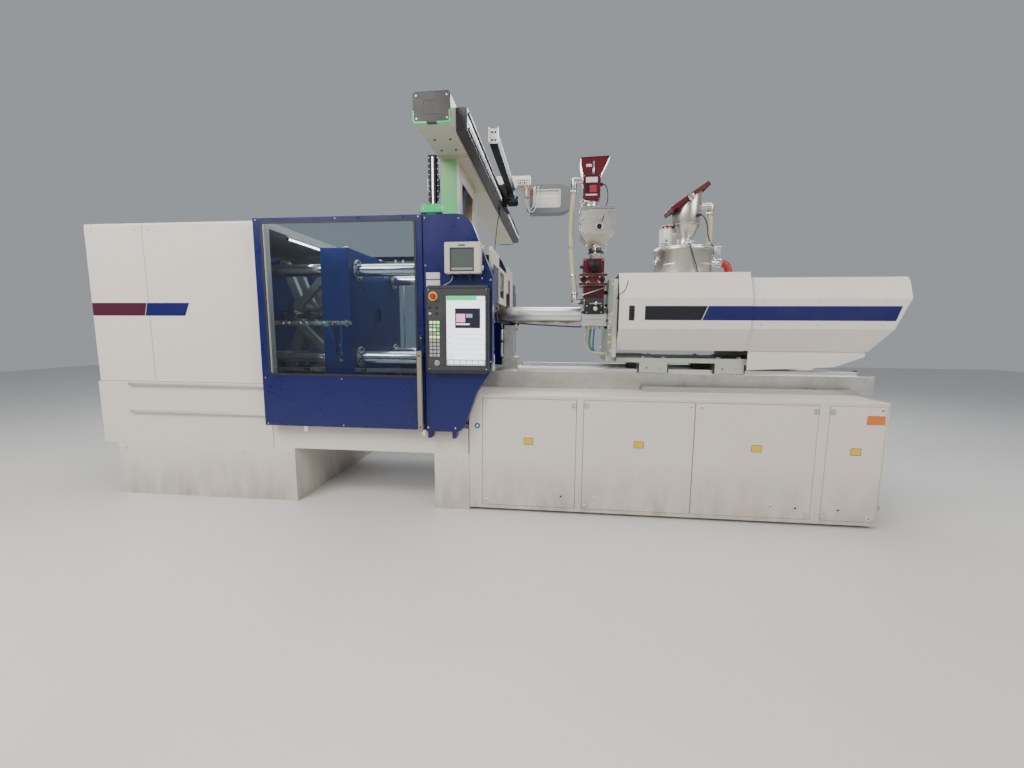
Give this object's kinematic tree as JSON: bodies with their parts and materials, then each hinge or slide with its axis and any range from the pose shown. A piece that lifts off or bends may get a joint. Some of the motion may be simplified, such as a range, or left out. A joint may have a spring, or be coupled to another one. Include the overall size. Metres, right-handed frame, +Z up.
{
  "type": "injection moulding machine",
  "caption": "Horizontal injection moulding machine: toggle clamp behind a sliding blue safety door, covered injection unit on a cabinet base, material feeds and a top-entry robot.",
  "frame": {"origin": "on the floor, under the middle of the right-hand pedestal and the fixed platen, on the machine axis in plan", "axes": "+X along the machine from the clamp to the injection unit, +Y from the operator side to the far side, +Z up"},
  "size_m": [6.124, 4.132, 3.29],
  "materials": {
    "cream_paint": "cream fine-texture powder coat",
    "blue_paint": "deep blue gloss paint",
    "platen_paint": "blue machine enamel on castings",
    "smoked_glass": "tinted clear polycarbonate",
    "rail_chrome": "polished guide rail",
    "ground_steel": "ground steel",
    "panel_plastic": "dark grey textured plastic",
    "screen_glass": "lit display",
    "beige_plastic": "beige plastic",
    "red_plastic": "red button",
    "lamp_green": "lit green lens",
    "grey_casting": "grey enamel on cast iron",
    "guard_metal": "bright sheet metal",
    "barrel_steel": "heat-tinted steel",
    "stainless": "brushed stainless sheet",
    "wine_paint": "wine red gloss paint",
    "hose_plastic": "cream reinforced hose",
    "robot_paint": "beige grey paint",
    "dark_anodised": "dark anodised aluminium",
    "white_paint": "white paint"
  },
  "bodies": {
    "machine_frame": {"clamp_frame": "cream_paint", "lower_cover": "cream_paint", "clamp_cover": "cream_paint", "door_rails": "rail_chrome", "hmi_cover": "blue_paint", "control_panel": "panel_plastic", "touch_screen": "screen_glass", "aux_display": "beige_plastic", "signal_lamp": "lamp_green", "rear_fixed_cover": "blue_paint", "end_guard": "cream_paint", "purge_guard": "cream_paint", "fixed_platen": "platen_paint", "end_platen": "platen_paint", "tie_bars": "ground_steel", "base_frame": "cream_paint", "injection_bed": "grey_casting", "injection_rails": "rail_chrome", "robot_post": "robot_paint", "robot_beam": "robot_paint"},
    "safety_door": {"safety_door": "blue_paint", "door_glass": "smoked_glass", "door_handle": "beige_plastic"},
    "rear_door": {"rear_door": "blue_paint", "rear_glass": "smoked_glass"},
    "e_stop": {"e_stop": "red_plastic"},
    "key_switch": {"key_switch": "ground_steel"},
    "moving_platen": {"moving_platen": "platen_paint"},
    "crosshead": {"crosshead": "ground_steel"},
    "clamp_screw": {"clamp_screw": "ground_steel"},
    "rear_link_upper": {"rear_link_upper": "ground_steel"},
    "rear_link_lower": {"rear_link_lower": "ground_steel"},
    "front_link_upper": {"front_link_upper": "ground_steel"},
    "front_link_lower": {"front_link_lower": "ground_steel"},
    "ejector": {"ejector": "ground_steel"},
    "base_door_1": {"base_door_1": "cream_paint"},
    "base_door_2": {"base_door_2": "cream_paint"},
    "base_door_3": {"base_door_3": "cream_paint"},
    "base_door_4": {"base_door_4": "cream_paint"},
    "injection_unit": {"injection_carriage": "grey_casting", "barrel": "barrel_steel", "rear_cover": "cream_paint", "feed_hopper": "stainless", "hopper_loader": "wine_paint", "feed_doser": "wine_paint", "loader_hoses": "hose_plastic", "drum_hopper": "stainless", "drum_loader": "stainless"},
    "barrel_guard": {"barrel_guard": "guard_metal"},
    "sliding_cover": {"sliding_cover": "cream_paint"},
    "drive_plate": {"drive_plate": "grey_casting"},
    "plasticizing_screw": {"plasticizing_screw": "ground_steel"},
    "loader_head": {"loader_head": "wine_paint"},
    "loader_lid": {"loader_lid": "wine_paint"},
    "slide_gate": {"slide_gate": "ground_steel"},
    "robot_carriage": {"robot_carriage": "dark_anodised"},
    "robot_kick": {"robot_kick": "white_paint"},
    "robot_arm": {"robot_arm": "dark_anodised"},
    "robot_arm_inner": {"robot_arm_inner": "dark_anodised"},
    "robot_wrist": {"robot_wrist": "ground_steel"}
  },
  "joints": [
    {"name": "safety_door_slide", "type": "slide", "parent": "machine_frame", "child": "safety_door", "axis": [-1, 0, 0], "range_m": [0, 1.13]},
    {"name": "rear_door_slide", "type": "slide", "parent": "machine_frame", "child": "rear_door", "axis": [-1, 0, 0], "range_m": [0, 1.13]},
    {"name": "e_stop_press", "type": "slide", "parent": "machine_frame", "child": "e_stop", "axis": [0, 1, 0], "range_m": [0, 0.005], "stiffness_N_per_m": 800},
    {"name": "key_switch_turn", "type": "hinge", "parent": "machine_frame", "child": "key_switch", "pos_m": [-0.061, -0.908, 1.112], "axis": [0, -1, 0], "range_deg": [0, 60]},
    {"name": "moving_platen_slide", "type": "slide", "parent": "machine_frame", "child": "moving_platen", "axis": [1, 0, 0], "range_m": [-0.05, 0.39]},
    {"name": "crosshead_slide", "type": "slide", "parent": "machine_frame", "child": "crosshead", "axis": [1, 0, 0], "range_m": [-0.05, 0.39]},
    {"name": "clamp_screw_spin", "type": "hinge", "parent": "machine_frame", "child": "clamp_screw", "pos_m": [-1.876, 0, 1.465], "axis": [1, 0, 0], "range_deg": [-600, 3600]},
    {"name": "rear_link_upper_swing", "type": "hinge", "parent": "machine_frame", "child": "rear_link_upper", "pos_m": [-1.664, 0, 1.895], "axis": [0, -1, 0], "range_deg": [-8.7, 61.3]},
    {"name": "rear_link_lower_swing", "type": "hinge", "parent": "machine_frame", "child": "rear_link_lower", "pos_m": [-1.664, 0, 1.035], "axis": [0, 1, 0], "range_deg": [-8.7, 61.3]},
    {"name": "front_link_upper_swing", "type": "hinge", "parent": "moving_platen", "child": "front_link_upper", "pos_m": [-1.176, 0, 1.895], "axis": [0, 1, 0], "range_deg": [-6.4, 42.8]},
    {"name": "front_link_lower_swing", "type": "hinge", "parent": "moving_platen", "child": "front_link_lower", "pos_m": [-1.176, 0, 1.035], "axis": [0, -1, 0], "range_deg": [-6.4, 42.8]},
    {"name": "ejector_stroke", "type": "slide", "parent": "moving_platen", "child": "ejector", "axis": [1, 0, 0], "range_m": [0, 0.07]},
    {"name": "base_door_1_swing", "type": "hinge", "parent": "machine_frame", "child": "base_door_1", "pos_m": [0.909, -0.76, 0.45], "axis": [0, 0, 1], "range_deg": [0, 90]},
    {"name": "base_door_2_swing", "type": "hinge", "parent": "machine_frame", "child": "base_door_2", "pos_m": [0.961, -0.76, 0.45], "axis": [0, 0, -1], "range_deg": [0, 90]},
    {"name": "base_door_3_swing", "type": "hinge", "parent": "machine_frame", "child": "base_door_3", "pos_m": [2.522, -0.76, 0.45], "axis": [0, 0, 1], "range_deg": [0, 90]},
    {"name": "base_door_4_swing", "type": "hinge", "parent": "machine_frame", "child": "base_door_4", "pos_m": [2.59, -0.76, 0.45], "axis": [0, 0, -1], "range_deg": [0, 90]},
    {"name": "injection_unit_slide", "type": "slide", "parent": "machine_frame", "child": "injection_unit", "axis": [1, 0, 0], "range_m": [-0.06, 0.35]},
    {"name": "barrel_guard_swing", "type": "hinge", "parent": "injection_unit", "child": "barrel_guard", "pos_m": [0.624, 0.08, 1.465], "axis": [-1, 0, 0], "range_deg": [0, 95]},
    {"name": "sliding_cover_slide", "type": "slide", "parent": "injection_unit", "child": "sliding_cover", "axis": [1, 0, 0], "range_m": [0, 0.6]},
    {"name": "injection_stroke", "type": "slide", "parent": "injection_unit", "child": "drive_plate", "axis": [1, 0, 0], "range_m": [0, 0.18]},
    {"name": "screw_spin", "type": "hinge", "parent": "drive_plate", "child": "plasticizing_screw", "pos_m": [1.624, 0, 1.465], "axis": [1, 0, 0], "continuous": true},
    {"name": "loader_head_swing", "type": "hinge", "parent": "injection_unit", "child": "loader_head", "pos_m": [0.946, 0, 2.605], "axis": [0, -1, 0], "range_deg": [0, 80]},
    {"name": "loader_lid_swing", "type": "hinge", "parent": "injection_unit", "child": "loader_lid", "pos_m": [1.666, 0, 2.308], "axis": [0, -1, 0], "range_deg": [0, 60]},
    {"name": "slide_gate_pull", "type": "slide", "parent": "injection_unit", "child": "slide_gate", "axis": [0, -1, 0], "range_m": [0, 0.08]},
    {"name": "robot_traverse", "type": "slide", "parent": "machine_frame", "child": "robot_carriage", "axis": [0, 1, 0], "range_m": [-1.15, 1.5]},
    {"name": "robot_kick_stroke", "type": "slide", "parent": "robot_carriage", "child": "robot_kick", "axis": [1, 0, 0], "range_m": [-0.1, 0.3]},
    {"name": "robot_arm_drop", "type": "slide", "parent": "robot_kick", "child": "robot_arm", "axis": [0, 0, -1], "range_m": [0, 0.3]},
    {"name": "robot_arm_inner_drop", "type": "slide", "parent": "robot_arm", "child": "robot_arm_inner", "axis": [0, 0, -1], "range_m": [0, 0.46]},
    {"name": "robot_wrist_turn", "type": "hinge", "parent": "robot_arm_inner", "child": "robot_wrist", "pos_m": [-0.666, 1.174, 2.69], "axis": [0, 0, 1], "range_deg": [0, 90]}
  ],
  "couplings": [
    {"joint": "crosshead_slide", "follows": "moving_platen_slide", "ratio": 1},
    {"joint": "clamp_screw_spin", "follows": "moving_platen_slide", "rad_per_m": 157.08},
    {"joint": "rear_link_upper_swing", "follows": "moving_platen_slide", "rad_per_m": 2.7},
    {"joint": "rear_link_lower_swing", "follows": "moving_platen_slide", "rad_per_m": 2.7},
    {"joint": "front_link_upper_swing", "follows": "moving_platen_slide", "rad_per_m": 1.871},
    {"joint": "front_link_lower_swing", "follows": "moving_platen_slide", "rad_per_m": 1.871},
    {"joint": "robot_arm_inner_drop", "follows": "robot_arm_drop", "ratio": 1.5}
  ]
}
